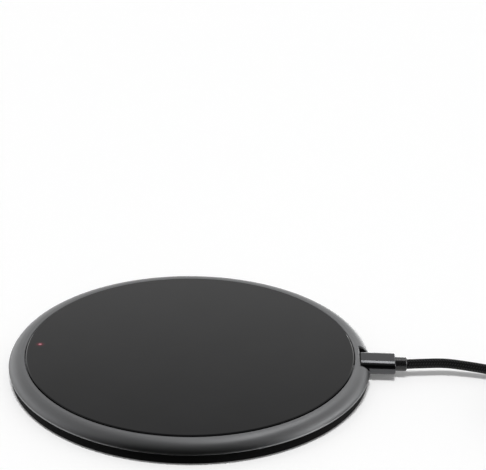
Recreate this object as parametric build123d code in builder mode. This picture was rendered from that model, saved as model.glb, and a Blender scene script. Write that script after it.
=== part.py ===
from build123d import *

import math
import os

# Electric mug warmer: a thin round heating plate, a recessed USB-C socket in its rim,
# and the detachable cord that plugs into it.
#
# Millimetres, +Z up. The origin is the centre of the base, on the table. +X runs from the
# indicator light through the centre to the socket.

os.makedirs("parts", exist_ok=True)

# ---------------------------------------------------------------- driving dimensions

# Overall
body_radius = 56.0  # lower outer edge of the trim ring
body_height = 7.0  # table to the top of the glass
foot_lift = 0.4  # table to the underside of the case

# Fits and joints between pieces
glass_gap = 0.3  # groove between the glass and the trim ring
adhesive_thickness = 0.15  # bond under the rim of the glass
slip_fit = 0.05  # a piece that locates in another
thread_fit = 0.02  # a screw in its pilot hole
mating_gap = 0.35  # plug housing to the socket's face
plug_clearance = 1.25  # air beside the plug housing in the notch
plug_lift = 0.6  # air under it
pocket_gap = 0.1  # air beside the socket in the pieces that are cut out for it

# Glass plate
glass_thickness = 1.0
glass_proud = 0.3  # how far the glass stands above the trim ring
bevel_width = 0.3
bevel_depth = 0.2

# Trim ring
crown_radius = 4.0  # radius of the rounded shoulder
ring_depth = 3.0  # height of the visible band
ring_width = 5.1  # from the groove round the glass to the lower outer edge
ledge_width = 2.0  # shelf that the glass is bonded to
ledge_thickness = 0.9
ring_wall = 1.6  # skirt that covers the rim of the case
lip_chamfer = 0.15
lower_round = 0.25

# Bottom case
case_inset = 0.45  # how far the case sits back from the ring's edge
case_taper = 0.35  # how much narrower it is at the bottom
floor_thickness = 1.1
base_round = 0.6
rim_wall = 1.0  # spigot that enters the trim ring
rim_rise = 1.0  # height of that spigot
rib_thickness = 0.9
rib_ring_radii = (12.0, 26.0)
rib_margin = 3.2  # from the ends of the ribs to the board's standoffs
rib_count = 12

# Foot ring
foot_inset = 10.0  # from the lower outer edge of the trim ring
foot_width = 5.0
foot_depth = 0.4  # depth of its groove in the case

# Case screws
case_screw_count = 6
screw_boss_radius = 2.15
screw_radius = 0.8
screw_head_radius = 1.5
screw_head_height = 0.9
screw_bite = 1.0  # thread length in the trim ring

# Circuit board and its screws
board_margin = 2.25  # from its edge to the case's screw bosses
board_thickness = 0.8
board_screw_count = 4
board_screw_inset = 3.6  # from the board's edge
board_screw_length = 2.0
board_hole_gap = 0.15
standoff_radius = 2.0

# Heater stack
heater_inset = 7.8  # from the board's edge, room for the parts around the heater
insulation_thickness = 0.95
track_thickness = 0.1
film_thickness = 0.15
film_inset = 0.8
spreader_thickness = 0.9
spreader_chamfer = 0.1
track_width = 3.4
track_margin = 1.2  # least film left outside the outermost turn
track_first_radius = 8.0
track_pitch = 5.6
track_split = 7.6  # gap across each turn, where the return strip runs
return_width = 2.0
window_size = 4.4  # opening for the temperature sensor
pad_gap = 0.66  # air around the thermal pad in that opening
lead_reach = 3.6  # how far the leads run out past the film

# Indicator light
light_inset = 3.8  # from the edge of the glass
light_radius = 0.6
light_shoulder_radius = 1.2
light_hole_gap = 0.05
led_size = (1.6, 0.8, 0.7)

# Small parts on the board
part_inset = 3.8  # from the board's edge to the middle of each part
chip_size = (4.0, 4.0, 0.85)
transistor_size = (6.0, 5.0, 1.0)
fuse_size = (3.2, 7.0, 1.2)
capacitor_size = (1.6, 3.2, 1.1)
resistor_size = (0.8, 1.6, 0.45)
sensor_size = (1.6, 0.8, 0.8)
chip_angle = 218.0
transistor_angle = 118.0
fuse_angle = 70.0
capacitor_angles = (20.0, 26.0, 340.0)
resistor_angles = (200.0, 204.0, 235.0, 239.0)

# Notch and port liner
notch_depth = 3.6  # from the trim ring's lower outer edge in to the socket's face
liner_wall = 0.55
liner_back = 1.1
liner_inset = 0.25  # how far the liner stays below the crown
notch_chamfer = 0.3

# USB-C socket
socket_side_gap = 0.045  # socket's shell to the plug's tip, at the rounded sides
socket_flat_gap = 0.13  # and above and below it
socket_end_gap = 0.25  # and at its end
socket_wall = 0.3
socket_below_glass = 2.75  # centre of the socket below the top of the glass
socket_back = 1.05
tongue_width = 6.69
tongue_thickness = 0.7
tongue_setback = 1.2

# Plug on the cord
tip_width = 8.25
tip_height = 2.4
tip_wall = 0.25
tip_length = 6.2
tip_seat = 1.5  # length held inside the housing
core_setback = 0.2
tongue_side_gap = 0.105  # the socket's tongue in the slot of the plug's core, at its edges
tongue_flat_gap = 0.125  # and above and below it
tongue_end_gap = 0.75  # and at its end
housing_side = 0.325  # housing's wall beside the tip
housing_cover = 1.05  # and above and below it
housing_length = 10.65
housing_round = 0.35
collar_wall = 0.65  # around the cord
collar_length = 3.6
collar_chamfer = 0.3

# Cord
cord_diameter = 3.0
coil_mid_diameter = 31.0
coil_turns_wide = 3
coil_turns_high = 4
coil_offset = (47.7, -21.6)  # from the collar's end to the middle of the coil
tie_thickness = 0.6
tie_angle = 205.0
tie_span = 24.0

# USB-A plug at the far end, lying on the coil
usb_a_offset = 9.5  # its axis, sideways from the middle of the coil
usb_a_start = 5.0  # where its strain relief begins, along Y from the middle of the coil
relief_length = 7.0
relief_radius = 2.3
relief_tip_wall = 0.3  # around the cord
usb_a_body = (15.0, 20.0, 7.0)
usb_a_round = 1.6
usb_a_shell_size = (12.0, 12.0, 4.5)
usb_a_shell_wall = 0.35
usb_a_seat = 2.0  # length held inside the body
usb_a_window = 2.3
usb_a_window_spacing = 5.4
usb_a_tongue_size = (10.6, 9.5, 1.85)
contact_size = (1.2, 7.5, 0.15)
contact_spacing = 2.4

# ---------------------------------------------------------------- levels and radii

glass_bottom = body_height - glass_thickness
ledge_top = glass_bottom - adhesive_thickness
ring_top = body_height - glass_proud
ring_bottom = ring_top - ring_depth
web_bottom = ledge_top - ledge_thickness
floor_top = foot_lift + floor_thickness

film_top = glass_bottom - spreader_thickness
film_bottom = film_top - film_thickness
insulation_top = film_bottom - track_thickness
board_top = insulation_top - insulation_thickness
board_height = board_top - board_thickness

glass_bore = body_radius - ring_width
glass_radius = glass_bore - glass_gap
ledge_radius = glass_radius - ledge_width
skirt_radius = body_radius - ring_wall
case_radius = body_radius - case_inset
rim_outer_radius = skirt_radius - slip_fit
rim_inner_radius = rim_outer_radius - rim_wall
rim_top = ring_bottom + rim_rise
foot_radius = body_radius - foot_inset

case_screw_circle = rim_outer_radius - screw_boss_radius
screw_head_seat = foot_lift + screw_head_height + slip_fit
board_radius = case_screw_circle - screw_boss_radius - board_margin
board_screw_circle = board_radius - board_screw_inset
board_hole_radius = screw_radius + board_hole_gap
rib_outer_radius = board_screw_circle - standoff_radius - rib_margin
part_circle = board_radius - part_inset
light_circle = glass_radius - light_inset
heater_radius = board_radius - heater_inset
film_radius = heater_radius - film_inset

cord_radius = cord_diameter / 2
collar_radius = cord_radius + collar_wall
relief_tip_radius = cord_radius + relief_tip_wall
housing_width = tip_width + 2 * housing_side
housing_height = tip_height + 2 * housing_cover
socket_width = tip_width + 2 * (socket_side_gap + socket_wall)
socket_height = tip_height + 2 * (socket_flat_gap + socket_wall)
socket_length = tip_length - mating_gap + socket_end_gap + socket_back

notch_width = housing_width + 2 * (plug_clearance + liner_wall + slip_fit)
notch_wall_x = body_radius - notch_depth
socket_z = body_height - socket_below_glass
notch_floor = socket_z - housing_height / 2 - plug_lift
socket_back_x = notch_wall_x - socket_length
socket_top = socket_z + socket_height / 2
plug_face_x = notch_wall_x + mating_gap
tip_start_x = plug_face_x - tip_length
collar_end_x = plug_face_x + housing_length + collar_length

# The shoulder leaves the flat top tangentially and ends at the body radius.
crown_turn = math.degrees(math.acos(1 - ring_depth / crown_radius))
crown_start = body_radius - crown_radius * math.sin(math.radians(crown_turn))

UP = (Align.CENTER, Align.CENTER, Align.MIN)
OUTWARD = (Align.MIN, Align.CENTER, Align.MIN)


def save(piece, name):
    piece.part.label = name
    export_step(piece.part, f"parts/{name}.step")


def case_screw_places():
    return PolarLocations(case_screw_circle, case_screw_count, start_angle=180 / case_screw_count)


def board_screw_places():
    return PolarLocations(board_screw_circle, board_screw_count, start_angle=180 / board_screw_count)


# ---------------------------------------------------------------- trim ring

with BuildPart() as trim_ring:
    with BuildSketch(Plane.XZ) as ring_section:
        with BuildLine():
            JernArc((crown_start, ring_top), (1, 0), crown_radius, -crown_turn)
            Polyline(
                (body_radius, ring_bottom),
                (skirt_radius, ring_bottom),
                (skirt_radius, web_bottom),
                (ledge_radius, web_bottom),
                (ledge_radius, ledge_top),
                (glass_bore, ledge_top),
                (glass_bore, ring_top),
                (crown_start, ring_top),
            )
        make_face()
        chamfer(ring_section.vertices().group_by(Axis.Y)[-1].sort_by(Axis.X)[0], lip_chamfer)
    revolve(axis=Axis.Z)
    # Notch for the plug, open at the outside
    with Locations((notch_wall_x, 0, 0)):
        Box(body_radius, notch_width, body_height, align=OUTWARD, mode=Mode.SUBTRACT)
    crown_edges = trim_ring.edges(Select.LAST).filter_by(GeomType.BSPLINE)
    chamfer(crown_edges, notch_chamfer)
    fillet(trim_ring.edges().group_by(Axis.Z)[0].sort_by(SortBy.LENGTH)[-1], lower_round)
    # Room for the socket and the back of the port liner, under a thin bridge
    with Locations((socket_back_x - slip_fit, 0, 0)):
        Box(
            socket_length + slip_fit,
            socket_width + 2 * pocket_gap,
            socket_top + slip_fit,
            align=OUTWARD,
            mode=Mode.SUBTRACT,
        )
    with Locations((notch_wall_x - liner_back - slip_fit, 0, 0)):
        Box(
            liner_back + slip_fit,
            notch_width,
            socket_top + slip_fit,
            align=OUTWARD,
            mode=Mode.SUBTRACT,
        )
    with Locations((0, 0, web_bottom)):
        with case_screw_places():
            Cylinder(screw_radius + thread_fit, screw_bite + slip_fit, align=UP, mode=Mode.SUBTRACT)
save(trim_ring, "trim_ring")

# ---------------------------------------------------------------- glass plate

with BuildPart() as glass_plate:
    with Locations((0, 0, glass_bottom)):
        Cylinder(glass_radius, glass_thickness, align=UP)
    chamfer(glass_plate.edges().group_by(Axis.Z)[-1], bevel_depth, bevel_width)
    with Locations((-light_circle, 0, body_height)):
        Hole(light_radius + light_hole_gap, depth=glass_thickness)
save(glass_plate, "glass_plate")

with BuildPart() as plate_adhesive:
    with BuildSketch(Plane.XY.offset(ledge_top)):
        Circle(glass_radius - slip_fit)
        Circle(ledge_radius + slip_fit, mode=Mode.SUBTRACT)
    extrude(amount=adhesive_thickness)
    with Locations((socket_back_x, 0, ledge_top)):
        Box(
            socket_length,
            socket_width + 2 * pocket_gap,
            body_height,
            align=OUTWARD,
            mode=Mode.SUBTRACT,
        )
save(plate_adhesive, "plate_adhesive")

# ---------------------------------------------------------------- bottom case

with BuildPart() as bottom_case:
    with BuildSketch(Plane.XZ) as case_section:
        with BuildLine():
            Polyline(
                (0, foot_lift),
                (foot_radius - foot_width, foot_lift),
                (foot_radius - foot_width, foot_lift + foot_depth),
                (foot_radius, foot_lift + foot_depth),
                (foot_radius, foot_lift),
                (case_radius - case_taper, foot_lift),
                (case_radius, ring_bottom),
                (rim_outer_radius, ring_bottom),
                (rim_outer_radius, rim_top),
                (rim_inner_radius, rim_top),
                (rim_inner_radius, floor_top),
                (0, floor_top),
                close=True,
            )
        make_face()
        base_corner = case_section.vertices().group_by(Axis.Y)[0].sort_by(Axis.X)[-1]
        fillet(base_corner, base_round)
    revolve(axis=Axis.Z)
    # Ribs that carry the board, and through it the mug
    with BuildSketch(Plane.XY.offset(floor_top)):
        for radius in sorted(rib_ring_radii, reverse=True):
            Circle(radius + rib_thickness / 2)
            Circle(radius - rib_thickness / 2, mode=Mode.SUBTRACT)
        rib_inner_radius = min(rib_ring_radii)
        with PolarLocations((rib_inner_radius + rib_outer_radius) / 2, rib_count):
            Rectangle(rib_outer_radius - rib_inner_radius, rib_thickness)
    extrude(amount=board_height - floor_top)
    # Screw bosses on the wall, standoffs for the board
    with Locations((0, 0, floor_top)):
        with case_screw_places():
            Cylinder(screw_boss_radius, web_bottom - floor_top, align=UP)
        with board_screw_places():
            Cylinder(standoff_radius, board_height - floor_top, align=UP)
    # Cradle under the socket
    with Locations((socket_back_x, 0, floor_top)):
        Box(
            socket_length - liner_back - slip_fit,
            socket_width - socket_height,
            socket_z - socket_height / 2 - floor_top,
            align=OUTWARD,
        )
    # Seat of the port liner, and room under the plug
    with Locations((notch_wall_x - liner_back - slip_fit, 0, floor_top)):
        Box(body_radius, notch_width, body_height, align=OUTWARD, mode=Mode.SUBTRACT)
    with Locations((notch_wall_x, 0, notch_floor)):
        Box(
            body_radius,
            housing_width + 2 * plug_clearance,
            body_height,
            align=OUTWARD,
            mode=Mode.SUBTRACT,
        )
    # Counterbored screw holes and the board screws' pilot holes
    with Locations((0, 0, foot_lift)):
        with case_screw_places():
            Cylinder(screw_radius + slip_fit, body_height, align=UP, mode=Mode.SUBTRACT)
            Cylinder(
                screw_head_radius + slip_fit,
                screw_head_seat - foot_lift,
                align=UP,
                mode=Mode.SUBTRACT,
            )
    with Locations((0, 0, board_top - board_screw_length - slip_fit)):
        with board_screw_places():
            Cylinder(screw_radius + thread_fit, body_height, align=UP, mode=Mode.SUBTRACT)
save(bottom_case, "bottom_case")

with BuildPart() as foot_ring:
    with BuildSketch(Plane.XY):
        Circle(foot_radius - slip_fit)
        Circle(foot_radius - foot_width + slip_fit, mode=Mode.SUBTRACT)
    extrude(amount=foot_lift + foot_depth)
    fillet(foot_ring.edges().group_by(Axis.Z)[0], foot_lift / 2)
save(foot_ring, "foot_ring")

with BuildPart() as case_screws:
    with Locations((0, 0, screw_head_seat)):
        with case_screw_places():
            Cylinder(screw_radius, web_bottom + screw_bite - screw_head_seat, align=UP)
    with Locations((0, 0, screw_head_seat - screw_head_height)):
        with case_screw_places():
            Cylinder(screw_head_radius, screw_head_height, align=UP)
save(case_screws, "case_screws")

# ---------------------------------------------------------------- circuit board

with BuildPart() as main_board:
    with BuildSketch(Plane.XY.offset(board_height)):
        Circle(board_radius)
        with Locations((socket_back_x - slip_fit, 0)):
            Rectangle(
                socket_length,
                socket_width + 2 * pocket_gap,
                align=(Align.MIN, Align.CENTER),
                mode=Mode.SUBTRACT,
            )
        with board_screw_places():
            Circle(board_hole_radius, mode=Mode.SUBTRACT)
    extrude(amount=board_thickness)
save(main_board, "main_board")

with BuildPart() as board_screws:
    with Locations((0, 0, board_top - board_screw_length)):
        with board_screw_places():
            Cylinder(screw_radius, board_screw_length, align=UP)
    with Locations((0, 0, board_top)):
        with board_screw_places():
            Cylinder(screw_head_radius, screw_head_height, align=UP)
save(board_screws, "board_screws")


def save_board_parts(name, size, angles):
    """Flat-bottomed parts on the top of the board, each turned to face the centre."""
    with BuildPart() as group:
        with Locations((0, 0, board_top)):
            for angle in angles:
                with PolarLocations(part_circle, 1, start_angle=angle):
                    Box(*size, align=UP)
    save(group, name)


save_board_parts("control_chip", chip_size, (chip_angle,))
save_board_parts("power_transistor", transistor_size, (transistor_angle,))
save_board_parts("thermal_fuse", fuse_size, (fuse_angle,))
save_board_parts("filter_capacitors", capacitor_size, capacitor_angles)
save_board_parts("sense_resistors", resistor_size, resistor_angles)

# ---------------------------------------------------------------- heater stack

with BuildPart() as insulation_disc:
    with BuildSketch(Plane.XY.offset(board_top)):
        Circle(heater_radius)
        Rectangle(window_size, window_size, mode=Mode.SUBTRACT)
    extrude(amount=insulation_thickness)
save(insulation_disc, "insulation_disc")

# One long track: open rings joined alternately left and right of the split, and a
# return strip from the innermost ring out through the split.
with BuildPart() as heater_track:
    with BuildSketch(Plane.XY.offset(insulation_top)):
        track_room = film_radius - track_margin - track_width / 2 - track_first_radius
        track_rings = math.floor(track_room / track_pitch) + 1
        ring_radii = [track_first_radius + i * track_pitch for i in range(track_rings)]
        for radius in reversed(ring_radii):
            Circle(radius + track_width / 2)
            Circle(radius - track_width / 2, mode=Mode.SUBTRACT)
        with Locations((0, film_radius / 2)):
            Rectangle(track_split, film_radius, mode=Mode.SUBTRACT)
        link_offset = (track_split + track_width) / 2
        for i, radius in enumerate(ring_radii[:-1]):
            side = 1 if i % 2 == 0 else -1
            with Locations((side * link_offset, radius + track_pitch / 2)):
                Rectangle(track_width, track_pitch)
        last_side = 1 if track_rings % 2 == 0 else -1
        with Locations((last_side * link_offset, ring_radii[-1])):
            Rectangle(track_width, film_radius - ring_radii[-1], align=(Align.CENTER, Align.MIN))
        with Locations((0, track_first_radius - track_width / 2)):
            Rectangle(
                return_width,
                film_radius - track_first_radius + track_width / 2,
                align=(Align.CENTER, Align.MIN),
            )
            Rectangle(link_offset, track_width, align=(Align.MAX, Align.MIN))
    extrude(amount=track_thickness)
save(heater_track, "heater_track")

with BuildPart() as heater_film:
    with BuildSketch(Plane.XY.offset(film_bottom)):
        Circle(film_radius)
        Rectangle(window_size, window_size, mode=Mode.SUBTRACT)
    extrude(amount=film_thickness)
save(heater_film, "heater_film")

with BuildPart() as heat_spreader:
    with Locations((0, 0, film_top)):
        Cylinder(heater_radius, spreader_thickness, align=UP)
    chamfer(heat_spreader.edges().group_by(Axis.Z)[0], spreader_chamfer)
save(heat_spreader, "heat_spreader")

# Flat leads from the two ends of the track down to the board
with BuildPart() as heater_leads:
    for offset in (0.0, last_side * link_offset):
        with BuildSketch(Plane.YZ.offset(offset)):
            with BuildLine():
                lead_end = film_radius + lead_reach
                Polyline(
                    (film_radius, film_bottom),
                    (film_radius + lead_reach / 2, film_bottom),
                    (film_radius + lead_reach / 2, board_top + track_thickness),
                    (lead_end, board_top + track_thickness),
                    (lead_end, board_top),
                    (film_radius + lead_reach / 2 - track_thickness, board_top),
                    (film_radius + lead_reach / 2 - track_thickness, insulation_top),
                    (film_radius, insulation_top),
                    close=True,
                )
            make_face()
        extrude(amount=return_width / 2, both=True)
save(heater_leads, "heater_leads")

with BuildPart() as thermistor:
    with Locations((0, 0, board_top)):
        Box(*sensor_size, align=UP)
save(thermistor, "thermistor")

with BuildPart() as thermal_pad:
    pad_width = window_size - 2 * pad_gap
    pad_bottom = board_top + sensor_size[2]
    with Locations((0, 0, pad_bottom)):
        Box(pad_width, pad_width, film_top - pad_bottom, align=UP)
save(thermal_pad, "thermal_pad")

# ---------------------------------------------------------------- indicator light

with BuildPart() as indicator_led:
    with Locations((-light_circle, 0, board_top)):
        Box(*led_size, align=UP)
save(indicator_led, "indicator_led")

with BuildPart() as light_guide:
    with Locations((-light_circle, 0, board_top + led_size[2])):
        Cylinder(light_shoulder_radius, glass_bottom - board_top - led_size[2], align=UP)
    with Locations((-light_circle, 0, glass_bottom)):
        Cylinder(light_radius, glass_thickness, align=UP)
save(light_guide, "light_guide")

# ---------------------------------------------------------------- port liner

# Black moulding that frames the socket and lines the notch, with cheeks that follow the
# shoulder of the trim ring.
with BuildPart() as port_liner:
    with BuildSketch(Plane.XZ):
        with BuildLine():
            JernArc(
                (crown_start, ring_top - liner_inset),
                (1, 0),
                crown_radius - liner_inset,
                -90,
            )
            crown_side = crown_start + crown_radius - liner_inset
            crown_centre_z = ring_top - crown_radius
            Polyline(
                (crown_side, crown_centre_z),
                (case_radius - case_taper, crown_centre_z),
                (case_radius - case_taper, floor_top),
                (socket_back_x, floor_top),
                (socket_back_x, ring_top - liner_inset),
                (crown_start, ring_top - liner_inset),
            )
        make_face()
    revolve(axis=Axis.Z)
    with Locations((notch_wall_x - liner_back, 0, 0)):
        Box(body_radius, notch_width - 2 * slip_fit, body_height, align=OUTWARD, mode=Mode.INTERSECT)
    # Clear channel for the plug
    with Locations((notch_wall_x, 0, notch_floor)):
        Box(
            body_radius,
            housing_width + 2 * plug_clearance,
            body_height,
            align=OUTWARD,
            mode=Mode.SUBTRACT,
        )
    # The back wall stops under the bridge of the ring and opens around the socket
    with Locations((0, 0, socket_top)):
        Box(notch_wall_x, notch_width, body_height, align=OUTWARD, mode=Mode.SUBTRACT)
    with BuildSketch(Plane.YZ):
        with Locations((0, socket_z)):
            SlotOverall(socket_width + 2 * slip_fit, socket_height + 2 * slip_fit)
    extrude(amount=notch_wall_x, mode=Mode.SUBTRACT)
save(port_liner, "port_liner")

# ---------------------------------------------------------------- USB-C socket

with BuildPart() as socket_shell:
    with BuildSketch(Plane.YZ.offset(socket_back_x)):
        with Locations((0, socket_z)):
            SlotOverall(socket_width, socket_height)
            SlotOverall(
                socket_width - 2 * socket_wall,
                socket_height - 2 * socket_wall,
                mode=Mode.SUBTRACT,
            )
    extrude(amount=socket_length)
save(socket_shell, "socket_shell")

with BuildPart() as socket_tongue:
    with BuildSketch(Plane.YZ.offset(socket_back_x)):
        with Locations((0, socket_z)):
            SlotOverall(
                socket_width - 2 * socket_wall - slip_fit,
                socket_height - 2 * socket_wall - slip_fit,
            )
    extrude(amount=socket_back)
    with Locations((socket_back_x, 0, socket_z)):
        Box(
            socket_length - tongue_setback,
            tongue_width,
            tongue_thickness,
            align=(Align.MIN, Align.CENTER, Align.CENTER),
        )
save(socket_tongue, "socket_tongue")

# ---------------------------------------------------------------- plug

with BuildPart() as plug_tip:
    with BuildSketch(Plane.YZ.offset(tip_start_x)):
        with Locations((0, socket_z)):
            SlotOverall(tip_width, tip_height)
            SlotOverall(tip_width - 2 * tip_wall, tip_height - 2 * tip_wall, mode=Mode.SUBTRACT)
    extrude(amount=tip_length + tip_seat)
save(plug_tip, "plug_tip")

with BuildPart() as plug_core:
    with BuildSketch(Plane.YZ.offset(tip_start_x + core_setback)):
        with Locations((0, socket_z)):
            SlotOverall(
                tip_width - 2 * tip_wall - slip_fit,
                tip_height - 2 * tip_wall - slip_fit,
            )
    extrude(amount=tip_length + tip_seat - core_setback)
    with Locations((tip_start_x, 0, socket_z)):
        Box(
            notch_wall_x - tongue_setback + tongue_end_gap - tip_start_x,
            tongue_width + 2 * tongue_side_gap,
            tongue_thickness + 2 * tongue_flat_gap,
            align=(Align.MIN, Align.CENTER, Align.CENTER),
            mode=Mode.SUBTRACT,
        )
save(plug_core, "plug_core")

with BuildPart() as plug_housing:
    with BuildSketch(Plane.YZ.offset(plug_face_x)):
        with Locations((0, socket_z)):
            SlotOverall(housing_width, housing_height)
    extrude(amount=housing_length)
    fillet(plug_housing.edges().group_by(Axis.X)[-1], housing_round)
    with BuildSketch(Plane.YZ.offset(plug_face_x)):
        with Locations((0, socket_z)):
            SlotOverall(tip_width + slip_fit, tip_height + slip_fit)
    extrude(amount=tip_seat, mode=Mode.SUBTRACT)
save(plug_housing, "plug_housing")

with BuildPart() as plug_collar:
    with BuildSketch(Plane.YZ.offset(plug_face_x + housing_length)):
        with Locations((0, socket_z)):
            Circle(collar_radius)
    extrude(amount=collar_length)
    chamfer(plug_collar.edges().group_by(Axis.X)[-1], collar_chamfer)
save(plug_collar, "plug_collar")

# ---------------------------------------------------------------- cord

coil_x = collar_end_x + coil_offset[0]
coil_y = coil_offset[1]
coil_bottom = tie_thickness
coil_top = coil_bottom + coil_turns_high * cord_diameter
coil_inner_radius = (coil_mid_diameter - coil_turns_wide * cord_diameter) / 2
coil_outer_radius = (coil_mid_diameter + coil_turns_wide * cord_diameter) / 2
outer_turn_radius = coil_outer_radius - cord_radius
usb_a_x = coil_x + usb_a_offset
usb_a_z = coil_top + usb_a_body[2] / 2
relief_start_y = coil_y + usb_a_start

# From the collar, down to the outermost turn of the coil
lead_route = [
    (collar_end_x, 0.0, socket_z),
    (collar_end_x + 5.2, 0.0, socket_z),
    (collar_end_x + 12.2, 2.0, 4.1),
    (collar_end_x + 19.2, 1.6, 3.7),
    (collar_end_x + 25.7, 0.1, 3.2),
    (collar_end_x + 32.7, -1.8, 2.6),
    (collar_end_x + 40.2, -3.0, 2.2),
    (coil_x, coil_y + outer_turn_radius, coil_bottom + cord_radius),
]

# From the top of the coil, round over it, and into the far plug's strain relief
tail_route = [
    (coil_x - 10.3, coil_y + 7.5, coil_top + 0.6),
    (coil_x - 7.7, coil_y + 14.5, coil_top + 1.5),
    (coil_x - 1.7, coil_y + 17.9, coil_top + 1.9),
    (coil_x + 5.1, coil_y + 16.7, coil_top + 2.6),
    (usb_a_x, coil_y + 11.4, usb_a_z),
    (usb_a_x, relief_start_y, usb_a_z),
]


def bend_radii(points):
    """The radius of the arc at each inner point, as large as its two runs allow."""
    radii = []
    for before, here, after in zip(points, points[1:], points[2:]):
        run_in = Vector(*here) - Vector(*before)
        run_out = Vector(*after) - Vector(*here)
        half_turn = math.radians(run_in.get_angle(run_out)) / 2
        radii.append(0.45 * min(run_in.length, run_out.length) / math.tan(half_turn))
    return radii


def save_tube(name, points):
    """A round tube along straight runs joined by tangent arcs."""
    radii = bend_radii(points)
    with BuildPart() as tube:
        with BuildLine():
            centreline = FilletPolyline(*points, radius=radii)
        with BuildSketch(Plane(origin=centreline @ 0, z_dir=centreline % 0)):
            Circle(cord_radius)
        sweep()
    save(tube, name)
    expected = math.pi * cord_radius**2 * centreline.length
    print(name, "radii", [round(r, 1) for r in radii], "length", round(centreline.length, 1))
    print(name, "volume", round(tube.part.volume, 1), "expected", round(expected, 1))


save_tube("cord_lead", lead_route)
save_tube("cord_tail", tail_route)

with BuildPart() as cord_coil:
    with BuildSketch(Plane.XZ.offset(-coil_y)):
        with Locations((coil_x + coil_mid_diameter / 2, (coil_bottom + coil_top) / 2)):
            RectangleRounded(
                coil_outer_radius - coil_inner_radius,
                coil_top - coil_bottom,
                cord_radius - slip_fit,
            )
    revolve(axis=Axis((coil_x, coil_y, 0), (0, 0, 1)))
save(cord_coil, "cord_coil")

with BuildPart() as cord_tie:
    tie_direction = Vector(1, 0, 0).rotate(Axis.Z, tie_angle)
    tie_plane = Plane(
        origin=(coil_x, coil_y, 0),
        x_dir=tie_direction,
        z_dir=tie_direction.rotate(Axis.Z, -90),
    )
    with BuildSketch(tie_plane):
        with Locations((coil_mid_diameter / 2, (coil_bottom + coil_top) / 2)):
            Rectangle(
                coil_outer_radius - coil_inner_radius + 2 * tie_thickness,
                coil_top - coil_bottom + 2 * tie_thickness,
            )
            Rectangle(
                coil_outer_radius - coil_inner_radius,
                coil_top - coil_bottom,
                mode=Mode.SUBTRACT,
            )
    revolve(axis=Axis((coil_x, coil_y, 0), (0, 0, 1)), revolution_arc=tie_span)
save(cord_tie, "cord_tie")

# ---------------------------------------------------------------- USB-A plug

body_start_y = relief_start_y - relief_length
body_end_y = body_start_y - usb_a_body[1]
ALONG = (Align.CENTER, Align.MAX, Align.CENTER)

with BuildPart() as usb_a_relief:
    with BuildSketch(Plane.XY.offset(usb_a_z)):
        with BuildLine():
            Polyline(
                (usb_a_x, relief_start_y),
                (usb_a_x + relief_tip_radius, relief_start_y),
                (usb_a_x + relief_radius, body_start_y),
                (usb_a_x, body_start_y),
                close=True,
            )
        make_face()
    revolve(axis=Axis((usb_a_x, 0, usb_a_z), (0, 1, 0)))
save(usb_a_relief, "usb_a_relief")

with BuildPart() as usb_a_housing:
    with Locations((usb_a_x, body_start_y, usb_a_z)):
        Box(*usb_a_body, align=ALONG)
    fillet(usb_a_housing.edges().filter_by(Axis.Y), usb_a_round)
    fillet(usb_a_housing.edges().group_by(Axis.Y)[-1], usb_a_round / 2)
    with Locations((usb_a_x, body_end_y + usb_a_seat, usb_a_z)):
        Box(
            usb_a_shell_size[0] + slip_fit,
            usb_a_seat,
            usb_a_shell_size[2] + slip_fit,
            align=ALONG,
            mode=Mode.SUBTRACT,
        )
save(usb_a_housing, "usb_a_housing")

with BuildPart() as usb_a_shell:
    with Locations((usb_a_x, body_end_y + usb_a_seat, usb_a_z)):
        Box(
            usb_a_shell_size[0],
            usb_a_shell_size[1] + usb_a_seat,
            usb_a_shell_size[2],
            align=ALONG,
        )
        Box(
            usb_a_shell_size[0] - 2 * usb_a_shell_wall,
            usb_a_shell_size[1] + usb_a_seat,
            usb_a_shell_size[2] - 2 * usb_a_shell_wall,
            align=ALONG,
            mode=Mode.SUBTRACT,
        )
    with Locations((usb_a_x, body_end_y - usb_a_shell_size[1] / 2, usb_a_z)):
        with GridLocations(usb_a_window_spacing, 0, 2, 1):
            Box(usb_a_window, usb_a_window, 2 * usb_a_shell_size[2], mode=Mode.SUBTRACT)
save(usb_a_shell, "usb_a_shell")

tongue_base_z = usb_a_z + usb_a_shell_size[2] / 2 - usb_a_shell_wall - usb_a_tongue_size[2] / 2

with BuildPart() as usb_a_tongue:
    with Locations((usb_a_x, body_end_y + usb_a_seat, tongue_base_z - slip_fit)):
        Box(
            usb_a_tongue_size[0],
            usb_a_tongue_size[1] + usb_a_seat,
            usb_a_tongue_size[2],
            align=ALONG,
        )
save(usb_a_tongue, "usb_a_tongue")

with BuildPart() as usb_a_contacts:
    contact_z = tongue_base_z - slip_fit - (usb_a_tongue_size[2] + contact_size[2]) / 2
    with Locations((usb_a_x, body_end_y, contact_z)):
        with GridLocations(contact_spacing, 0, 4, 1):
            Box(*contact_size, align=ALONG)
save(usb_a_contacts, "usb_a_contacts")
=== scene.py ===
import math

import bpy
import numpy as np
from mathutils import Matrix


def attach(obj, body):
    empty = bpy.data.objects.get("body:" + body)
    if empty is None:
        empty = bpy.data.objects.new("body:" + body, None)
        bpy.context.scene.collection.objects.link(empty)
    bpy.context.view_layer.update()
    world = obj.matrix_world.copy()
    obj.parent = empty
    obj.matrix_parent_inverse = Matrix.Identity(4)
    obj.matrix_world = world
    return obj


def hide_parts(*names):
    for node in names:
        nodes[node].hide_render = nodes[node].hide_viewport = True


# Electric mug warmer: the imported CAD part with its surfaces, its braided cord, and the studio
# around it. Metres, +Z up, the same frame as the part.

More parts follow.
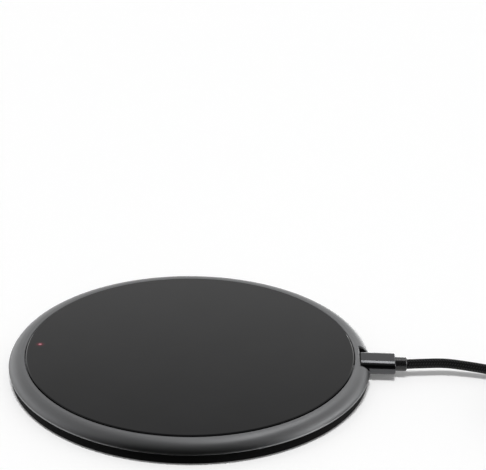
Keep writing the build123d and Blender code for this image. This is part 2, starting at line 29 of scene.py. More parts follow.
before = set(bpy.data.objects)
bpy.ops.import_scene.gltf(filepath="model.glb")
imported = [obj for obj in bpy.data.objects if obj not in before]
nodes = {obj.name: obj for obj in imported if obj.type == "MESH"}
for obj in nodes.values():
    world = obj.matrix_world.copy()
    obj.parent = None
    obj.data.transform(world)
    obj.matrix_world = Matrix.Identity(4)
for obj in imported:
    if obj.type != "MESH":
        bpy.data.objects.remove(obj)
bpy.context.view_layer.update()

# ---------------------------------------------------------------- the cord's route

CORD_DIAMETER = 0.003
CORD_SIDES = 20
CORD_STEPS = 10  # of the spline between two control points

# From inside the collar, down to the table, to the outermost turn of the coil
LEAD_POINTS = [
    (0.0664, 0.0, 0.00425),
    (0.0722, 0.0006, 0.0044),
    (0.0792, 0.0016, 0.0043),
    (0.0862, 0.0011, 0.0037),
    (0.0927, 0.0002, 0.0032),
    (0.0997, -0.0018, 0.0026),
    (0.1072, -0.0030, 0.0022),
]

COIL_X = 0.1147
COIL_Y = -0.0216
COIL_BOTTOM = 0.0006
COIL_COLUMNS = 3
COIL_ROWS = 4
COIL_OUTER_TURN = 0.0185
COIL_POINTS_PER_TURN = 16
COIL_FIRST_ANGLE = 90.0
COIL_LAST_ANGLE = 160.0
COIL_RISE_ANGLE = 200.0  # where the last turn starts to rise over the coil
COIL_RISE = 0.0014
COIL_SHIFT_ANGLE = 60.0  # the arc over which a turn moves on to its next place
COIL_FAN = 0.12  # how much wider the turns lie opposite the tie
COIL_WAVER = 0.0003  # how unevenly the turns lie there
COIL_WAVER_RATE = 2.4
TIE_ANGLE = 217.0

# From the top of the coil, round over it, into the far plug's strain relief
TAIL_POINTS = [
    (0.1044, -0.0141, 0.0132),
    (0.1070, -0.0071, 0.0141),
    (0.1130, -0.0037, 0.0145),
    (0.1198, -0.0049, 0.0152),
    (0.1242, -0.0102, 0.0161),
    (0.1242, -0.0176, 0.0161),
]


def coil_place(turn):
    """Radius and height of a whole turn: up the outermost column, down the next, and so on."""
    column, row = divmod(min(turn, COIL_COLUMNS * COIL_ROWS - 1), COIL_ROWS)
    if column % 2:
        row = COIL_ROWS - 1 - row
    height = COIL_BOTTOM + CORD_DIAMETER * (row + 0.5)
    return COIL_OUTER_TURN - column * CORD_DIAMETER, height


def coil_points():
    """Control points of the coil's turns, wound clockwise as seen from above."""
    step = 360.0 / COIL_POINTS_PER_TURN
    inside = math.cos(math.pi / COIL_POINTS_PER_TURN)  # the curve cuts inside its points
    whole = COIL_COLUMNS * COIL_ROWS * 360.0
    count = int((whole - COIL_LAST_ANGLE + COIL_FIRST_ANGLE) / step) + 1
    found = []
    for i in range(count):
        along = i * step
        turn, done = divmod(along, 360.0)
        here, after = coil_place(int(turn)), coil_place(int(turn) + 1)
        share = max(0.0, (done - 360.0 + COIL_SHIFT_ANGLE) / COIL_SHIFT_ANGLE)
        share = share * share * (3 - 2 * share)
        radius = here[0] + (after[0] - here[0]) * share
        height = here[1] + (after[1] - here[1]) * share
        angle = math.radians(COIL_FIRST_ANGLE - along)
        fan = (1 - math.cos(angle - math.radians(TIE_ANGLE))) / 2
        slack = COIL_OUTER_TURN - radius
        radius -= slack * COIL_FAN * fan
        radius -= min(slack, COIL_WAVER) * fan * (1 + math.sin(COIL_WAVER_RATE * turn)) / 2
        to_end = whole - along - COIL_RISE_ANGLE + COIL_FIRST_ANGLE
        if to_end < 0:
            height += COIL_RISE * -to_end / (COIL_RISE_ANGLE - COIL_LAST_ANGLE)
        radius /= inside
        place = (COIL_X + radius * math.cos(angle), COIL_Y + radius * math.sin(angle), height)
        found.append(place)
    return found


def smooth_line(points):
    """Points along the NURBS spline that has these control points."""
    curve = bpy.data.curves.new("cord_route", "CURVE")
    curve.dimensions = "3D"
    curve.resolution_u = CORD_STEPS
    spline = curve.splines.new("NURBS")
    spline.points.add(len(points) - 1)
    for point, place in zip(spline.points, points):
        point.co = (*place, 1.0)
    spline.order_u = 3
    spline.use_endpoint_u = True
    holder = bpy.data.objects.new("cord_route", curve)
    mesh = bpy.data.meshes.new_from_object(holder)
    line = np.array([v.co for v in mesh.vertices], float)
    bpy.data.meshes.remove(mesh)
    bpy.data.objects.remove(holder)
    bpy.data.curves.remove(curve)
    return line


def side_vectors(line):
    """Two unit vectors across the line at each point, carried along without twist."""
    heading = np.gradient(line, axis=0)
    heading /= np.linalg.norm(heading, axis=1)[:, None]
    first = np.cross(heading[0], (0.0, 1.0, 0.0))
    across = [first / np.linalg.norm(first)]
    for direction in heading[1:]:
        side = across[-1] - direction * (across[-1] @ direction)
        across.append(side / np.linalg.norm(side))
    across = np.array(across)
    return across, np.cross(heading, across)


def add_piece(name, places, faces):
    """A smooth mesh in the scene."""
    mesh = bpy.data.meshes.new(name)
    mesh.from_pydata(places, [], faces)
    mesh.polygons.foreach_set("use_smooth", [True] * len(faces))
    mesh.update()
    piece = bpy.data.objects.new(name, mesh)
    bpy.context.scene.collection.objects.link(piece)
    return piece


def band(first, second, count):
    """Faces between two rings of that many points, which start at these numbers."""
    steps = [(k, (k + 1) % count) for k in range(count)]
    return [(first + k, first + after, second + after, second + k) for k, after in steps]


def tube(name, line, radius, sides, pitch):
    """A closed tube round the line. Its UV map counts pitches along it, and turns round it."""
    across, upward = side_vectors(line)
    turn = np.arange(sides) * 2 * math.pi / sides
    rings = (
        line[:, None]
        + radius * np.cos(turn)[None, :, None] * across[:, None]
        + radius * np.sin(turn)[None, :, None] * upward[:, None]
    )
    count = len(line)
    runs = np.linalg.norm(np.diff(line, axis=0), axis=1)
    along = np.concatenate([[0.0], np.cumsum(runs)]) / pitch
    faces = []
    places = []
    for i in range(count - 1):
        near, far = along[i], along[i + 1]
        faces += band(i * sides, (i + 1) * sides, sides)
        for k in range(sides):
            left, right = k / sides, (k + 1) / sides
            places += [(near, left), (near, right), (far, right), (far, left)]
    faces.append(tuple(range(sides - 1, -1, -1)))
    faces.append(tuple((count - 1) * sides + k for k in range(sides)))
    places += [(0.0, k / sides) for k in range(sides)] * 2
    piece = add_piece(name, rings.reshape(-1, 3).tolist(), faces)
    layer = piece.data.uv_layers.new(name="weave")
    layer.uv.foreach_set("vector", np.array(places, np.float32).ravel())
    for end in piece.data.polygons[-2:]:
        end.use_smooth = False
    return piece


# ---------------------------------------------------------------- camera

CAMERA_PLACE = (0.026108, -0.41663, 0.232426)
CAMERA_ANGLES = (65.9312, -1.109, 1.9528)
CAMERA_LENS = 113.017


def make_camera():
    data = bpy.data.cameras.new("camera")
    data.lens = CAMERA_LENS
    data.sensor_width = 36.0
    data.clip_start = 0.01
    data.clip_end = 50.0
    camera = bpy.data.objects.new("camera", data)
    camera.location = CAMERA_PLACE
    camera.rotation_euler = [math.radians(a) for a in CAMERA_ANGLES]
    bpy.context.scene.collection.objects.link(camera)
    bpy.context.scene.camera = camera


# ---------------------------------------------------------------- shader helpers


class Nodes:
    """Short ways to build a node tree."""

    def __init__(self, tree):
        self.tree = tree

    def node(self, kind, **settings):
        made = self.tree.nodes.new(kind)
        for key, value in settings.items():
            setattr(made, key, value)
        return made

    def link(self, source, target):
        self.tree.links.new(source, target)

    def math(self, operation, first, second=None):
        made = self.node("ShaderNodeMath", operation=operation)
        for socket, value in zip(made.inputs, (first, second)):
            if value is None:
                continue
            if isinstance(value, (int, float)):
                socket.default_value = value
            else:
                self.link(value, socket)
        return made.outputs["Value"]

    def spread(self, factor, low, high, start=0.3, end=0.7, kind="LINEAR"):
        """The factor from start to end, as a number from low to high."""
        made = self.node("ShaderNodeMapRange", interpolation_type=kind)
        made.inputs["From Min"].default_value = start
        made.inputs["From Max"].default_value = end
        made.inputs["To Min"].default_value = low
        made.inputs["To Max"].default_value = high
        self.link(factor, made.inputs["Value"])
        return made.outputs["Result"]

    def ramp(self, factor, stops):
        """Colours by factor: stops are (position, colour)."""
        made = self.node("ShaderNodeValToRGB")
        elements = made.color_ramp.elements
        while len(elements) < len(stops):
            elements.new(0.5)
        for element, (position, color) in zip(elements, stops):
            element.position = position
            element.color = (*color, 1.0)
        self.link(factor, made.inputs["Fac"])
        return made.outputs["Color"]


class Surface(Nodes):
    """A material with one Principled shader, and short ways to vary it by place."""

    def __init__(self, name, color, roughness, metallic=0.0, **more):
        self.material = bpy.data.materials.new(name)
        self.material.use_nodes = True
        super().__init__(self.material.node_tree)
        self.shader = self.tree.nodes["Principled BSDF"]
        self.shader.inputs["Base Color"].default_value = (*color, 1.0)
        self.shader.inputs["Roughness"].default_value = roughness
        self.shader.inputs["Metallic"].default_value = metallic
        for socket, value in more.items():
            self.shader.inputs[socket.replace("_", " ")].default_value = value
        self.material.diffuse_color = (*color, 1.0)
        self.place = self.node("ShaderNodeTexCoord").outputs["Object"]
        self.height = None

    def noise(self, scale, detail=2.0, stretch=None):
        """Noise from 0 to 1, with features about 1 / scale metres wide."""
        made = self.node("ShaderNodeTexNoise")
        made.inputs["Scale"].default_value = scale
        made.inputs["Detail"].default_value = detail
        place = self.place
        if stretch is not None:
            mapping = self.node("ShaderNodeMapping")
            mapping.inputs["Scale"].default_value = stretch
            self.link(place, mapping.inputs["Vector"])
            place = mapping.outputs["Vector"]
        self.link(place, made.inputs["Vector"])
        return made.outputs["Fac"]

    def distance(self, x, y):
        """How far the place is from that vertical line."""
        offset = self.node("ShaderNodeVectorMath", operation="SUBTRACT")
        self.link(self.place, offset.inputs[0])
        offset.inputs[1].default_value = (x, y, 0.0)
        flat = self.node("ShaderNodeVectorMath", operation="MULTIPLY")
        self.link(offset.outputs["Vector"], flat.inputs[0])
        flat.inputs[1].default_value = (1.0, 1.0, 0.0)
        length = self.node("ShaderNodeVectorMath", operation="LENGTH")
        self.link(flat.outputs["Vector"], length.inputs[0])
        return length.outputs["Value"]

    def along(self, axis):
        """The place's X, Y or Z."""
        parts = self.node("ShaderNodeSeparateXYZ")
        self.link(self.place, parts.inputs["Vector"])
        return parts.outputs[axis]

    def colors(self, factor, stops, socket="Base Color"):
        self.link(self.ramp(factor, stops), self.shader.inputs[socket])

    def shades(self, factor, color, stops):
        """Shades of one colour by factor: stops are (position, share)."""
        self.colors(factor, [(place, shade(color, share)) for place, share in stops])

    def roughness(self, factor, low, high):
        self.link(self.spread(factor, low, high), self.shader.inputs["Roughness"])

    def bump(self, height, distance, strength=1.0):
        """Adds relief of that depth in metres to what is there already."""
        made = self.node("ShaderNodeBump")
        made.inputs["Distance"].default_value = distance
        made.inputs["Strength"].default_value = strength
        self.link(height, made.inputs["Height"])
        if self.height is not None:
            self.link(self.height, made.inputs["Normal"])
        self.height = made.outputs["Normal"]
        self.link(self.height, self.shader.inputs["Normal"])


BLACK = (0.0, 0.0, 0.0)


def shade(color, share):
    return tuple(c * share for c in color)


def put(material, *names):
    """Gives CAD nodes a material in their own slots."""
    for name in names:
        for slot in nodes[name].material_slots:
            slot.material = material


# ---------------------------------------------------------------- metal and glass

# How grain is stretched along its lines
DRAWN_ALONG_X = (0.08, 1.0, 1.0)
DRAWN_ALONG_Y = (1.0, 0.08, 1.0)
ROLLED_ALONG_Y = (1.0, 0.04, 1.0)

RING_PAINTED_SHADE = (0.0038, 0.0056)  # heights between which painted shade darkens the ring downwards
RING_LIP_HIGHLIGHT = (0.00405, 0.0044)  # heights over which the painted highlight on its rounded lip ends
RING_TONES = (0.56, 0.7)  # cloudiness of the coating, with the painted lip highlight at 1


def ring_metal():
    """Fine bead-blasted gunmetal, with painted shade darkening it downwards and a painted highlight
    on its lip.
    """
    color = (0.21, 0.212, 0.216)
    surface = Surface("ring_metal", color, 0.42, 1.0)
    cloud = surface.noise(60.0, 3.0)
    # painted shade: the colour darkens towards the ring's lower edge
    lower_painted_shade = surface.spread(surface.along("Z"), 0.0, 1.0, *RING_PAINTED_SHADE, "SMOOTHSTEP")
    tone = surface.math("MULTIPLY", surface.spread(cloud, *RING_TONES), lower_painted_shade)
    # painted highlight: the rounded lip gets a colour brighter than the rest of the ring
    lip = surface.spread(surface.along("Z"), 1.0, 0.0, *RING_LIP_HIGHLIGHT, "SMOOTHSTEP")
    tone = surface.math("MAXIMUM", tone, lip)
    surface.shades(tone, color, [(0.0, 0.5), (0.56, 0.95), (0.7, 1.05), (1.0, 1.35)])
    grain = surface.noise(5200.0, 2.0)
    surface.roughness(grain, 0.39, 0.45)
    surface.bump(grain, 0.000005, 0.5)
    return surface.material


LIGHT_PLACE = (-0.0468, 0.0)  # the indicator light, on the X axis
LIGHT_RADIUS = 0.0006
GLOW_RADIUS = 0.0019  # to which it shows in the glass
GLOW_COLOR = (0.07, 0.003, 0.008)


def black_glass():
    """Polished black glass, faintly red where the indicator light bleeds into its edge."""
    color = (0.0042, 0.0042, 0.0046)
    surface = Surface("black_glass", color, 0.03, IOR=1.33)
    smudge = surface.noise(90.0, 4.0)
    surface.shades(smudge, color, [(0.3, 0.8), (0.7, 1.2)])
    surface.roughness(smudge, 0.02, 0.05)
    glow = surface.spread(surface.distance(*LIGHT_PLACE), 1.0, 0.0, LIGHT_RADIUS, GLOW_RADIUS)
    glow = surface.math("POWER", glow, 2.0)
    surface.colors(glow, [(0.0, BLACK), (1.0, GLOW_COLOR)], "Emission Color")
    surface.shader.inputs["Emission Strength"].default_value = 1.0
    return surface.material


def red_light():
    """The light guide's tip: pink-white in the middle, deep red at the rim."""
    surface = Surface("red_light", (0.12, 0.004, 0.008), 0.25)
    away = surface.spread(surface.distance(*LIGHT_PLACE), 0.0, 1.0, 0.0, LIGHT_RADIUS)
    stops = [(0.0, (0.4, 0.25, 0.3)), (0.5, (0.28, 0.12, 0.16)), (1.0, (0.1, 0.01, 0.018))]
    surface.colors(away, stops, "Emission Color")
    surface.shader.inputs["Emission Strength"].default_value = 0.9
    return surface.material


def plug_metal():
    """Dark anodised aluminium with a fine satin grain."""
    color = (0.085, 0.086, 0.089)
    surface = Surface("plug_metal", color, 0.18, 1.0)
    grain = surface.noise(9000.0, 2.0, stretch=DRAWN_ALONG_X)
    surface.shades(grain, color, [(0.3, 0.92), (0.7, 1.08)])
    surface.roughness(grain, 0.13, 0.18)
    surface.bump(grain, 0.0000005, 0.3)
    return surface.material


# X from which painted shade darkens a piece, and at which it is black
TIP_PAINTED_SHADE = (0.0521, 0.0523)
SOCKET_PAINTED_SHADE = (0.0518, 0.0514)
NO_PAINTED_SHADE = (1.0, 2.0)


def bright_steel(name, drawing, shade_span=NO_PAINTED_SHADE):
    """Nickel-plated sheet steel, drawn one way, and black with painted shade where it lies in a gap
    or deep inside.
    """
    color = (0.56, 0.55, 0.53)
    surface = Surface(name, color, 0.25, 1.0)
    drawn = surface.noise(3000.0, 3.0, stretch=drawing)
    # painted shade: black at the tip's root in the gap at the housing, and on the socket inside the
    # case
    unshaded = surface.spread(surface.along("X"), 1.0, 0.0, *shade_span)
    tone = surface.math("MULTIPLY", surface.spread(drawn, 0.8, 1.0), unshaded)
    surface.shades(tone, color, [(0.0, 0.02), (0.8, 0.9), (1.0, 1.06)])
    surface.roughness(drawn, 0.18, 0.34)
    surface.bump(drawn, 0.000005, 0.5)
    return surface.material


def screw_steel():
    """Black-zinc screws, a little worn."""
    color = (0.1, 0.1, 0.104)
    surface = Surface("screw_steel", color, 0.4, 1.0)
    wear = surface.noise(2600.0, 4.0)
    surface.shades(wear, color, [(0.35, 0.85), (0.75, 1.3)])
    surface.roughness(wear, 0.32, 0.5)
    return surface.material


# ---------------------------------------------------------------- plastic and rubber


def moulded(name, color, roughness, grain_scale, grain_depth, specular=0.5):
    """Moulded plastic or rubber: a slow change of tone and a fine spark-eroded texture."""
    surface = Surface(name, color, roughness, Specular_IOR_Level=specular)
    cloud = surface.noise(45.0, 3.0)
    surface.shades(cloud, color, [(0.3, 0.85), (0.7, 1.2)])
    grain = surface.noise(grain_scale, 3.0)
    surface.roughness(grain, roughness - 0.06, roughness + 0.08)
    surface.bump(grain, grain_depth, 0.6)
    return surface.material


def put_plastics():
    put(moulded("case_plastic", (0.0025, 0.0025, 0.0026), 0.6, 3400.0, 0.00002, 0.03), "bottom_case")
    put(moulded("liner_plastic", (0.008, 0.008, 0.0083), 0.5, 3800.0, 0.000015, 0.3), "port_liner")
    put(moulded("plug_insert", (0.01, 0.01, 0.0105), 0.42, 3000.0, 0.00001), "plug_core")
    put(moulded("foot_silicone", (0.022, 0.022, 0.023), 0.78, 2600.0, 0.00003, 0.3), "foot_ring")
    collar = moulded("collar_rubber", (0.006, 0.006, 0.0062), 0.24, 3000.0, 0.000002)
    put(collar, "plug_collar", "usb_a_relief")
    far_plug = moulded("far_plug_plastic", (0.013, 0.013, 0.0135), 0.38, 3200.0, 0.000012)
    put(far_plug, "usb_a_housing")
    put(moulded("tongue_plastic", (0.015, 0.015, 0.016), 0.45, 2600.0, 0.00001), "socket_tongue")
    put(moulded("usb_a_tongue", (0.62, 0.62, 0.6), 0.42, 2600.0, 0.00001), "usb_a_tongue")


# ---------------------------------------------------------------- inside the case


def board_laminate():
    """Black solder mask over a faint glass weave."""
    surface = Surface("board_laminate", (0.01, 0.022, 0.014), 0.42)
    cloud = surface.noise(120.0, 3.0)
    surface.colors(cloud, [(0.3, (0.008, 0.018, 0.011)), (0.7, (0.013, 0.027, 0.017))])
    waves = []
    for direction in ("X", "Y"):
        wave = surface.node("ShaderNodeTexWave", bands_direction=direction)
        wave.inputs["Scale"].default_value = 260.0
        surface.link(surface.place, wave.inputs["Vector"])
        waves.append(wave.outputs["Fac"])
    weave = surface.math("MULTIPLY", *waves)
    surface.roughness(weave, 0.36, 0.46)
    surface.bump(weave, 0.00001, 0.4)
    return surface.material


def component(name, color, roughness, scale=900.0):
    """A board component's moulded or fired body."""
    surface = Surface(name, color, roughness)
    speck = surface.noise(scale, 4.0)
    surface.shades(speck, color, [(0.3, 0.85), (0.7, 1.12)])
    surface.roughness(speck, roughness - 0.08, roughness + 0.08)
    return surface.material


def layered_mica():
    """Pressed mica: pale flakes of many sizes."""
    surface = Surface("mica_sheet", (0.5, 0.42, 0.28), 0.5)
    flakes = surface.node("ShaderNodeTexVoronoi")
    flakes.inputs["Scale"].default_value = 380.0
    surface.link(surface.place, flakes.inputs["Vector"])
    tone = flakes.outputs["Distance"]
    surface.colors(tone, [(0.0, (0.58, 0.5, 0.36)), (0.8, (0.4, 0.32, 0.2))])
    surface.roughness(tone, 0.35, 0.6)
    surface.bump(tone, 0.00003, 0.5)
    return surface.material


def rolled_metal(name, color, roughness):
    """Rolled sheet or foil with its lines along Y."""
    surface = Surface(name, color, roughness, 1.0)
    lines = surface.noise(1500.0, 3.0, stretch=ROLLED_ALONG_Y)
    surface.shades(lines, color, [(0.3, 0.88), (0.7, 1.06)])
    surface.roughness(lines, roughness - 0.08, roughness + 0.1)
    surface.bump(lines, 0.000006, 0.4)
    return surface.material


def put_inside_materials():
    put(component("adhesive", (0.03, 0.03, 0.032), 0.6), "plate_adhesive")
    put(board_laminate(), "main_board")
    black = component("component_black", (0.014, 0.014, 0.015), 0.5)
    put(black, "control_chip", "power_transistor", "sense_resistors", "thermistor")
    put(component("component_white", (0.66, 0.65, 0.6), 0.4), "thermal_fuse", "indicator_led")
    put(component("component_tan", (0.36, 0.25, 0.15), 0.42), "filter_capacitors")
    put(layered_mica(), "insulation_disc")
    put(rolled_metal("track_copper", (0.72, 0.42, 0.28), 0.32), "heater_track", "heater_leads")
    put(component("heater_film", (0.42, 0.19, 0.035), 0.3, 300.0), "heater_film")
    put(rolled_metal("plain_aluminium", (0.7, 0.7, 0.71), 0.35), "heat_spreader")
    put(component("gap_filler", (0.35, 0.4, 0.48), 0.7, 1400.0), "thermal_pad")
    put(rolled_metal("gold_contact", (0.85, 0.6, 0.25), 0.22), "usb_a_contacts")


def put_show_materials():
    put(ring_metal(), "trim_ring")
    put(black_glass(), "glass_plate")
    put(red_light(), "light_guide")
    put(plug_metal(), "plug_housing")
    put(bright_steel("usb_a_steel", DRAWN_ALONG_Y), "usb_a_shell")
    put(bright_steel("socket_steel", DRAWN_ALONG_X, SOCKET_PAINTED_SHADE), "socket_shell")
    put(bright_steel("tip_steel", DRAWN_ALONG_X, TIP_PAINTED_SHADE), "plug_tip")


# ---------------------------------------------------------------- screws of the case

SCREW_COUNT = 6
SCREW_CIRCLE = 0.0522
SCREW_FIRST_ANGLE = 30.0
SCREW_SIDES = 48
RECESS_RADIUS = 0.00074
RECESS_LOBES = 6
RECESS_LOBE_HEIGHT = 0.0001
RECESS_TOP = 0.00105
SHARP_ANGLE = 30.0  # degrees from which an edge of a screw is sharp

# Radius and height round a screw, from the rim of its head's face to the end of its shank
SCREW_PROFILE = [
    (0.00134, 0.00045),
    (0.0015, 0.00061),
    (0.0015, 0.00135),
    (0.0008, 0.00135),
    (0.0008, 0.00595),
]


def screw_rings():
    """Rings of points round a screw's axis, from the top of its six-lobed recess."""
    angles = [2 * math.pi * k / SCREW_SIDES for k in range(SCREW_SIDES)]
    lobes = [RECESS_RADIUS + RECESS_LOBE_HEIGHT * math.cos(RECESS_LOBES * a) for a in angles]
    rings = []
    for height in (RECESS_TOP, SCREW_PROFILE[0][1]):
        rings.append([(r * math.cos(a), r * math.sin(a), height) for r, a in zip(lobes, angles)])
    for radius, height in SCREW_PROFILE:
        rings.append([(radius * math.cos(a), radius * math.sin(a), height) for a in angles])
    return rings


def make_screws():
    """The case's screws, with a recess for the driver. The board's get the same steel."""
    rings = screw_rings()
    places = []
    faces = []
    for number in range(SCREW_COUNT):
        turn = math.radians(SCREW_FIRST_ANGLE + 360.0 * number / SCREW_COUNT)
        middle = (SCREW_CIRCLE * math.cos(turn), SCREW_CIRCLE * math.sin(turn))
        first = len(places)
        for ring in rings:
            places += [(x + middle[0], y + middle[1], z) for x, y, z in ring]
        last = len(places) - SCREW_SIDES
        faces.append(tuple(range(first + SCREW_SIDES - 1, first - 1, -1)))
        for here in range(first, last, SCREW_SIDES):
            faces += band(here, here + SCREW_SIDES, SCREW_SIDES)
        faces.append(tuple(range(last, last + SCREW_SIDES)))
    screws = add_piece("lobed_screws", places, faces)
    screws.data.set_sharp_from_angle(angle=math.radians(SHARP_ANGLE))
    steel = screw_steel()
    screws.data.materials.append(steel)
    put(steel, "board_screws")
    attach(screws, "warmer")
    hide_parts("case_screws")


# ---------------------------------------------------------------- studio

FLOOR_COLOR = (0.93, 0.93, 0.93)
FLOOR_SIZE = 12.0
FLOOR_CLOUD = (0.995, 1.0)  # how even its colour is
FLOOR_LIFT = 0.12  # what brings it up to white, apart from the object's shadow

# What metal and glass show of the floor: a painted shadow in front, before the second Y, and a
# painted pool of light behind at the right, which fades between two radii
FLOOR_FRONT_SHADOW = (-0.059, -0.0525)
POOL_PLACE = (0.085, 0.085)
POOL_EDGES = (0.03, 0.09)
POOL_LEVEL = 2.0

# What they show of the walls: their level by the sine of the height, from the horizon to
# overhead, the share of it behind the camera, where it is dark, and a lit wall at the right
WALL_LEVELS = [
    (0.0, 1.35),
    (0.12, 1.25),
    (0.3, 1.0),
    (0.45, 0.77),
    (0.54, 0.5),
    (0.62, 0.5),
    (0.7, 0.64),
    (0.84, 0.4),
    (1.0, 0.25),
]
FRONT_LEVEL = 0.03
FRONT_EDGES = (-0.75, 0.1)
RIGHT_LEVEL = 3.0
RIGHT_EDGES = (0.86, 0.985)

SKY_LEVEL = 0.31  # even light on everything else

OVERHEAD_PLACE = (0.0, -0.3, 1.0)
OVERHEAD_POWER = 2.15
OVERHEAD_WIDTH = 13.0  # degrees
OVERHEAD_TILT = 20.0

STRIP_PLACE = (0.095, 0.225, 0.45)
STRIP_SIZE = (0.036, 0.45)
STRIP_POWER = 0.3


def white_floor():
    """White to the camera; to metal and glass, a painted shadow in front and a painted pool of light
    at the back right.
    """
    surface = Surface("floor", FLOOR_COLOR, 0.6, Specular_IOR_Level=0.2)
    surface.shader.inputs["Emission Color"].default_value = (1.0, 1.0, 1.0, 1.0)
    path = surface.node("ShaderNodeLightPath")
    glossy = path.outputs["Is Glossy Ray"]
    # painted shadow on the floor in front, seen only by metal and glass
    front = surface.spread(surface.along("Y"), 1.0, 0.0, *FLOOR_FRONT_SHADOW, "SMOOTHSTEP")
    bright = surface.math("SUBTRACT", 1.0, surface.math("MULTIPLY", front, glossy))
    cloud = surface.spread(surface.noise(3.0, 2.0), *FLOOR_CLOUD)
    surface.colors(surface.math("MULTIPLY", cloud, bright), [(0.0, BLACK), (1.0, FLOOR_COLOR)])
    seen = surface.math("MAXIMUM", path.outputs["Is Camera Ray"], glossy)
    seen = surface.math("MAXIMUM", seen, path.outputs["Is Transmission Ray"])
    lift = surface.math("MULTIPLY", surface.math("MULTIPLY", seen, bright), FLOOR_LIFT)
    # painted pool of light on the floor, seen only by metal and glass
    away = surface.distance(*POOL_PLACE)
    pool = surface.spread(away, POOL_LEVEL, 0.0, *POOL_EDGES, "SMOOTHSTEP")
    lift = surface.math("ADD", lift, surface.math("MULTIPLY", pool, glossy))
    surface.link(lift, surface.shader.inputs["Emission Strength"])
    return surface.material


def make_floor():
    half = FLOOR_SIZE / 2
    corners = [(-half, -half, 0.0), (half, -half, 0.0), (half, half, 0.0), (-half, half, 0.0)]
    floor = add_piece("floor", corners, [(0, 1, 2, 3)])
    floor.data.materials.append(white_floor())


def make_world():
    """Even light, white to the camera, and walls that show in metal and glass."""
    world = bpy.data.worlds.new("studio")
    world.use_nodes = True
    bpy.context.scene.world = world
    studio = Nodes(world.node_tree)
    background = studio.tree.nodes["Background"]
    way = studio.node("ShaderNodeSeparateXYZ")
    studio.link(studio.node("ShaderNodeTexCoord").outputs["Generated"], way.inputs["Vector"])
    walls = studio.ramp(way.outputs["Z"], [(z, (level,) * 3) for z, level in WALL_LEVELS])
    front = studio.spread(way.outputs["Y"], FRONT_LEVEL, 1.0, *FRONT_EDGES, "SMOOTHSTEP")
    right = studio.spread(way.outputs["X"], 0.0, RIGHT_LEVEL, *RIGHT_EDGES, "SMOOTHSTEP")
    lit = studio.math("ADD", studio.math("MULTIPLY", walls, front), right)
    path = studio.node("ShaderNodeLightPath")
    sharp = studio.math("MAXIMUM", path.outputs["Is Glossy Ray"], path.outputs["Is Transmission Ray"])
    level = studio.node("ShaderNodeMix")
    level.inputs["A"].default_value = SKY_LEVEL
    studio.link(sharp, level.inputs["Factor"])
    studio.link(lit, level.inputs["B"])
    seen = studio.math("MAXIMUM", level.outputs["Result"], path.outputs["Is Camera Ray"])
    studio.link(seen, background.inputs["Color"])


def add_lamp(name, kind, place, power):
    data = bpy.data.lights.new(name, kind)
    data.energy = power
    lamp = bpy.data.objects.new(name, data)
    lamp.location = place
    bpy.context.scene.collection.objects.link(lamp)
    return lamp


def strip_light():
    """A long lamp that faces down and only shows as the highlight on metal and glass."""
    lamp = add_lamp("strip_light", "AREA", STRIP_PLACE, STRIP_POWER)
    lamp.data.shape = "RECTANGLE"
    lamp.data.size, lamp.data.size_y = STRIP_SIZE
    lamp.visible_camera = False
    lamp.visible_diffuse = False


def overhead_light():
    """Even light from a round source high overhead, a little towards the camera."""
    lamp = add_lamp("overhead_light", "SUN", OVERHEAD_PLACE, OVERHEAD_POWER)
    lamp.data.angle = math.radians(OVERHEAD_WIDTH)
    lamp.rotation_euler = (math.radians(OVERHEAD_TILT), 0.0, 0.0)
    lamp.visible_glossy = False


# ---------------------------------------------------------------- the cord

BRAID_PITCH = 0.0084  # length in which a strand goes once round the cord
BRAID_STRANDS = 10  # in each of the two directions
BRAID_REPEAT = 4.0  # crossings after which the weave repeats: two over, two under
BODY_SHARE = 0.55  # of a strand's height, from its round body
YARN_SHARE = 0.22  # and from the three yarns that lie side by side in it
PAINTED_CREST_HIGHLIGHT = (0.036, 0.036, 0.038)


def braid_height(surface):
    """Relief from 0 to 1 of strands that pass over two and under two."""
    weave = surface.node("ShaderNodeUVMap", uv_map="weave")
    parts = surface.node("ShaderNodeSeparateXYZ")
    surface.link(weave.outputs["UV"], parts.inputs["Vector"])
    along, around = parts.outputs["X"], parts.outputs["Y"]
    right = surface.math("MULTIPLY", surface.math("SUBTRACT", around, along), BRAID_STRANDS)
    left = surface.math("MULTIPLY", surface.math("ADD", around, along), BRAID_STRANDS)
    crossing = surface.math("ADD", surface.math("FLOOR", right), surface.math("FLOOR", left))
    crossing = surface.math("FLOORED_MODULO", crossing, BRAID_REPEAT)
    over = surface.math("LESS_THAN", crossing, 1.5)  # crossing is 0, 1, 2 or 3
    across_right = surface.math("FRACT", right)
    across_left = surface.math("FRACT", left)

    def strand(across, travel, first):
        """Height of a strand: round across, and dipping under at both ends of its float."""
        share = surface.math("SUBTRACT", crossing, first)
        share = surface.math("MULTIPLY", surface.math("ADD", share, travel), math.pi / 2)
        dip = surface.math("SINE", share)
        crown = surface.math("SINE", surface.math("MULTIPLY", across, math.pi))
        yarns = surface.math("SINE", surface.math("MULTIPLY", across, 3 * math.pi))
        yarns = surface.math("MULTIPLY", surface.math("ABSOLUTE", yarns), YARN_SHARE)
        body = surface.math("MULTIPLY", crown, surface.math("ADD", dip, 0.5))
        return surface.math("ADD", surface.math("MULTIPLY", body, BODY_SHARE), yarns)

    right_height = strand(across_right, across_left, 0.0)
    left_height = strand(across_left, across_right, BRAID_REPEAT / 2)
    chosen = surface.node("ShaderNodeMix")
    surface.link(over, chosen.inputs["Factor"])
    surface.link(left_height, chosen.inputs["A"])
    surface.link(right_height, chosen.inputs["B"])
    return chosen.outputs["Result"]


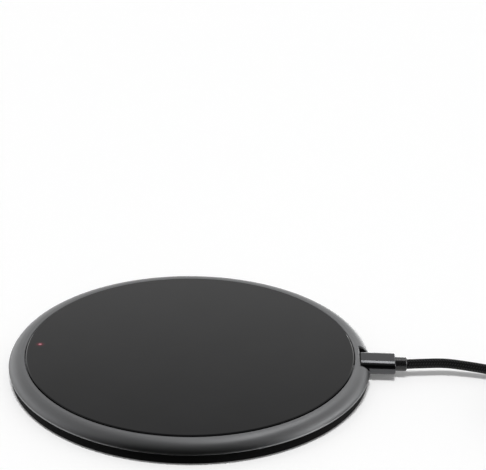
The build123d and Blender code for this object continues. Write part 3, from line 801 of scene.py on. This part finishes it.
def cord_braid():
    """Black nylon braid, with painted shade in the gaps between strands and a painted highlight on
    their crests.
    """
    surface = Surface("cord_braid", (0.006, 0.006, 0.0063), 0.45, Specular_IOR_Level=0.14)
    height = braid_height(surface)
    # painted shade and highlight: by height, from nearly black in the gaps to paler on the crests
    surface.shades(height, PAINTED_CREST_HIGHLIGHT, [(0.15, 0.01), (0.45, 0.02), (0.65, 0.16), (1.0, 1.0)])
    fuzz = surface.noise(5000.0, 2.0)
    surface.roughness(fuzz, 0.38, 0.56)
    surface.bump(height, 0.0002, 0.9)
    surface.bump(fuzz, 0.00001, 0.3)
    return surface.material


STRAP_WIDTH = 0.0054
STRAP_THICKNESS = 0.0006
STRAP_EDGE_RADIUS = 0.00024
STRAP_EDGE_STEPS = 3
STRAP_BEND_STEPS = 8


def rounded_rectangle(width, height, radius, steps):
    """Points round a rectangle with round corners, each with its outward direction."""
    found = []
    for corner, (side, end) in enumerate(((1, 1), (-1, 1), (-1, -1), (1, -1))):
        for step in range(steps + 1):
            angle = math.radians(90.0 * (corner + step / steps))
            out = (math.cos(angle), math.sin(angle))
            across = side * (width / 2 - radius) + radius * out[0]
            upward = end * (height / 2 - radius) + radius * out[1]
            found.append(((across, upward), out))
    return found


def make_tie():
    """A soft strap, snug round the turns of the coil."""
    high = COIL_ROWS * CORD_DIAMETER
    wide = COIL_COLUMNS * CORD_DIAMETER
    middle = COIL_OUTER_TURN + CORD_DIAMETER / 2 - wide / 2
    bend = CORD_DIAMETER / 2 + STRAP_THICKNESS / 2
    loop = rounded_rectangle(wide + STRAP_THICKNESS, high + STRAP_THICKNESS, bend, STRAP_BEND_STEPS)
    section = rounded_rectangle(
        STRAP_WIDTH, STRAP_THICKNESS, STRAP_EDGE_RADIUS, STRAP_EDGE_STEPS
    )
    places = []
    for (across, upward), out in loop:
        for (sideways, outward), _ in section:
            radius = middle + across + out[0] * outward
            height = COIL_BOTTOM + high / 2 + upward + out[1] * outward
            angle = math.radians(TIE_ANGLE) + sideways / radius
            x = COIL_X + radius * math.cos(angle)
            y = COIL_Y + radius * math.sin(angle)
            places.append((x, y, max(0.0, height)))  # rounding stays above the table
    faces = []
    count = len(section)
    for here in range(0, len(places), count):
        after = (here + count) % len(places)
        for k in range(count):
            following = (k + 1) % count
            faces.append((here + k, after + k, after + following, here + following))
    strap = add_piece("tie_strap", places, faces)
    silicone = moulded("tie_silicone", (0.028, 0.028, 0.03), 0.62, 2400.0, 0.00003)
    strap.data.materials.append(silicone)
    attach(strap, "cord")
    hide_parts("cord_tie")
    return strap


def make_cord(tie):
    route = LEAD_POINTS + coil_points() + TAIL_POINTS
    line = smooth_line(route)
    piece = tube("braided_cord", line, CORD_DIAMETER / 2, CORD_SIDES, BRAID_PITCH)
    piece.data.materials.append(cord_braid())
    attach(piece, "cord")
    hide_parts("cord_lead", "cord_coil", "cord_tail")


make_camera()
make_cord(make_tie())
put_show_materials()
put_plastics()
put_inside_materials()
make_screws()
make_floor()
make_world()
strip_light()
overhead_light()

scene = bpy.context.scene
scene.view_settings.view_transform = "Standard"
